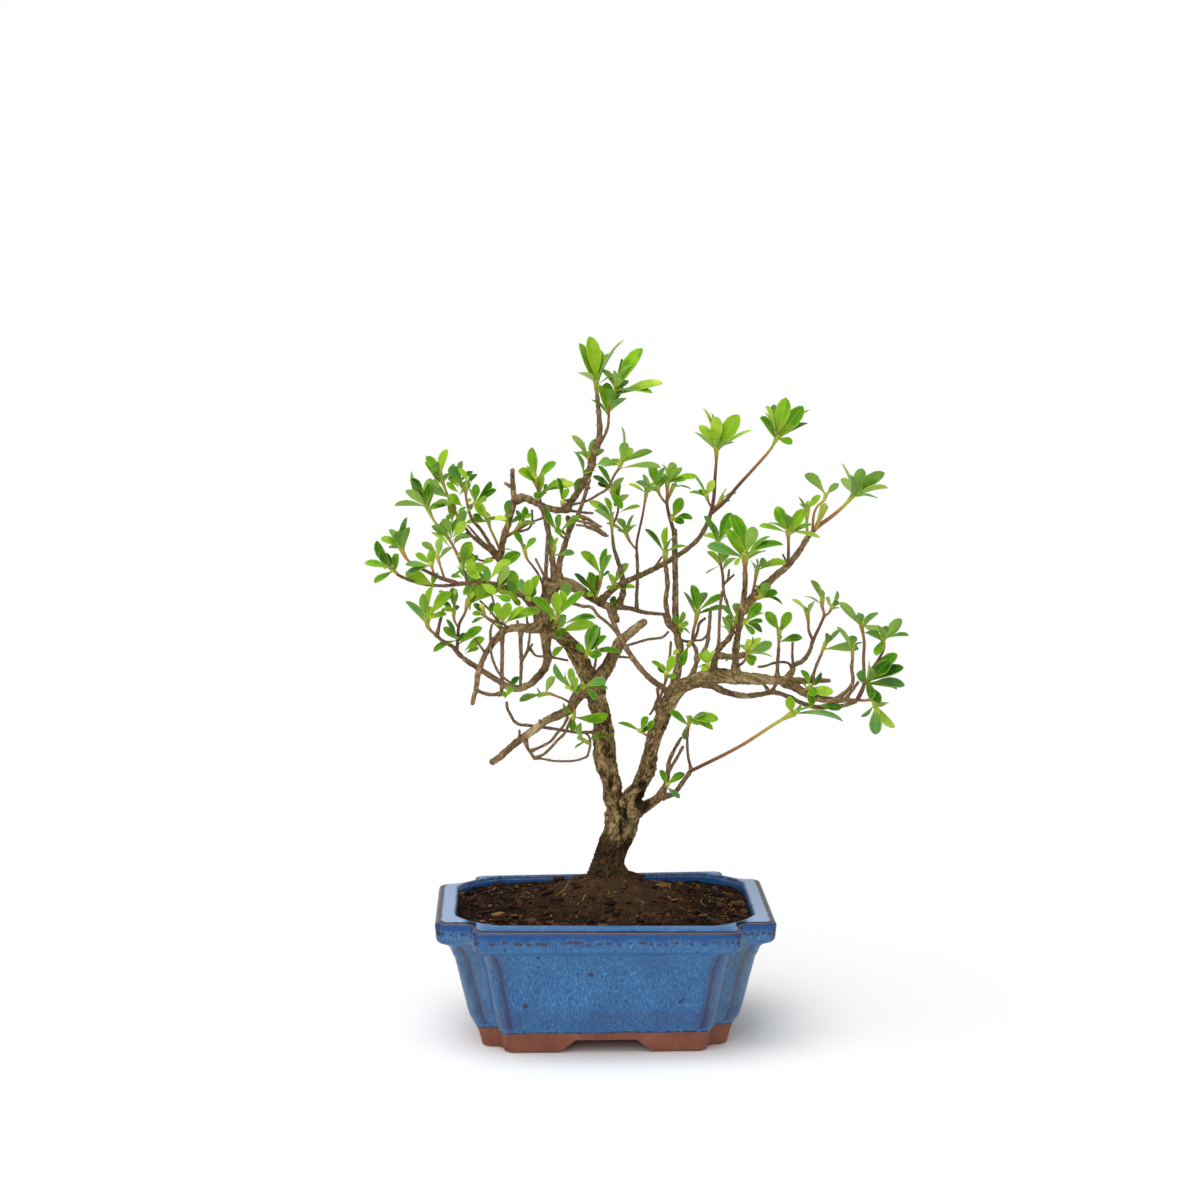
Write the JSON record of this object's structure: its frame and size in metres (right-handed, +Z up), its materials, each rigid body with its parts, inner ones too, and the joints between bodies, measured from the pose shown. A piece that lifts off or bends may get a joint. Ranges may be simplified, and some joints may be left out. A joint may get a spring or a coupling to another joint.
{
  "type": "satsuki azalea bonsai",
  "caption": "Satsuki azalea bonsai with a forked trunk, long arching branches and small whorls of leaves, in a rectangular glazed pot with stepped corners.",
  "frame": {"origin": "on the surface that the pot stands on, under the middle of the whole object's box", "axes": "+Z up, +Y from the tree's front to its back, +X to the right as its front is seen"},
  "size_m": [0.317, 0.15, 0.4182],
  "materials": {
    "pot_glaze": "glossy blue glaze, breaking brown on edges, over an unglazed terracotta foot",
    "drain_mesh": "black moulded mesh",
    "soil": "dark moist peat with bark chips and rootlets",
    "bark": "grey-brown flaking bark",
    "shoot": "satin green leaves on yellow-brown stems"
  },
  "bodies": {
    "root": {"drain_screen_left": "drain_mesh", "drain_screen_right": "drain_mesh", "pot": "pot_glaze", "shoot_apex_left": "shoot", "shoot_apex_right": "shoot", "shoot_apex_top": "shoot", "shoot_bottom_arc": "shoot", "shoot_bottom_arc_tip": "shoot", "shoot_centre_limb": "shoot", "shoot_centre_upright": "shoot", "shoot_far_left": "shoot", "shoot_far_left_base": "shoot", "shoot_far_left_low": "shoot", "shoot_far_right": "shoot", "shoot_far_right_base": "shoot", "shoot_far_right_inner": "shoot", "shoot_inner_left": "shoot", "shoot_knuckle": "shoot", "shoot_leader_fork": "shoot", "shoot_leader_twig": "shoot", "shoot_left_arc": "shoot", "shoot_left_fan": "shoot", "shoot_left_high": "shoot", "shoot_left_leader": "shoot", "shoot_left_leader_high": "shoot", "shoot_left_orange": "shoot", "shoot_left_rise": "shoot", "shoot_left_upright": "shoot", "shoot_long_arc_low": "shoot", "shoot_long_arc_side": "shoot", "shoot_long_arc_top": "shoot", "shoot_low_left": "shoot", "shoot_low_loop": "shoot", "shoot_low_orange": "shoot", "shoot_low_rise": "shoot", "shoot_low_spur": "shoot", "shoot_middle_upright": "shoot", "shoot_right_crown": "shoot", "shoot_right_end": "shoot", "shoot_right_inner": "shoot", "shoot_right_knot": "shoot", "shoot_right_stem_b": "shoot", "shoot_right_stem_c": "shoot", "shoot_right_stem_d": "shoot", "shoot_right_stem_low": "shoot", "shoot_right_stem_mid": "shoot", "shoot_right_stem_top": "shoot", "shoot_right_twig": "shoot", "shoot_right_under": "shoot", "shoot_tall_stem_low": "shoot", "shoot_tall_stem_top": "shoot", "shoot_thin_upright": "shoot", "shoot_top_bar": "shoot", "shoot_top_bar_inner": "shoot", "shoot_top_twig": "shoot", "shoot_twin_stem": "shoot", "shoot_upright_a": "shoot", "shoot_upright_b": "shoot", "soil": "soil", "trunk": "bark"}
  },
  "joints": []
}
